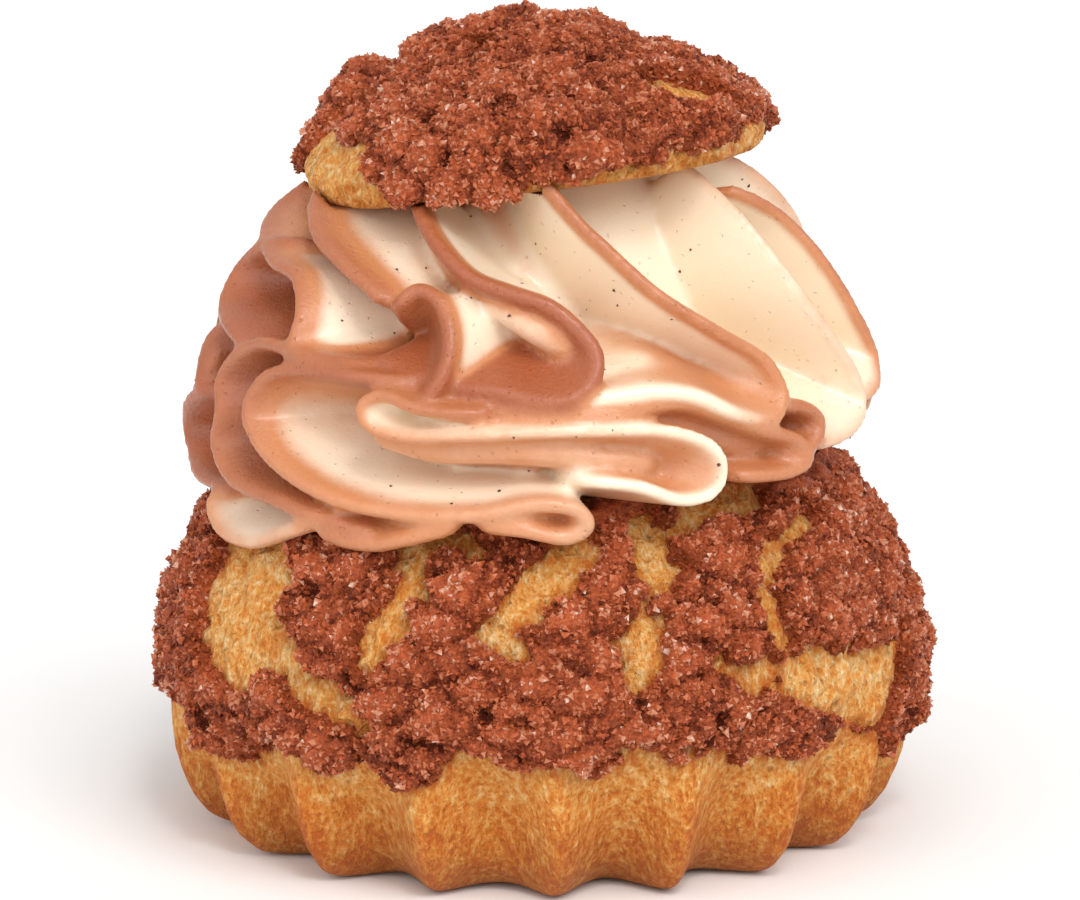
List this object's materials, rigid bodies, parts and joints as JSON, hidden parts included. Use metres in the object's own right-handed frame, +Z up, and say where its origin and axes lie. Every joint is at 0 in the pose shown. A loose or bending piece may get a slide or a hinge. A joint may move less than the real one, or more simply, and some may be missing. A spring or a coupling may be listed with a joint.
{
  "type": "cream puff",
  "caption": "Cream puff with a fluted choux base under a cracked sugar crust, a ruffled swirl of piped vanilla and chocolate cream, and a small crusted lid lying tilted on top.",
  "frame": {"origin": "middle of the flat foot, on the surface that the puff rests on", "axes": "+Z up through the swirl, the side seen in the picture faces -Y, +X to the right of that side"},
  "size_m": [0.0787, 0.079, 0.082],
  "materials": {
    "choux": "baked golden choux dough, satin, finely porous",
    "cream": "whipped cream, soft satin, vanilla running into chocolate",
    "craquelin": "baked sugar crust, matte and grainy"
  },
  "bodies": {
    "root": {"choux_base": "choux", "cream_swirl": "cream", "choux_lid": "craquelin"}
  },
  "joints": []
}
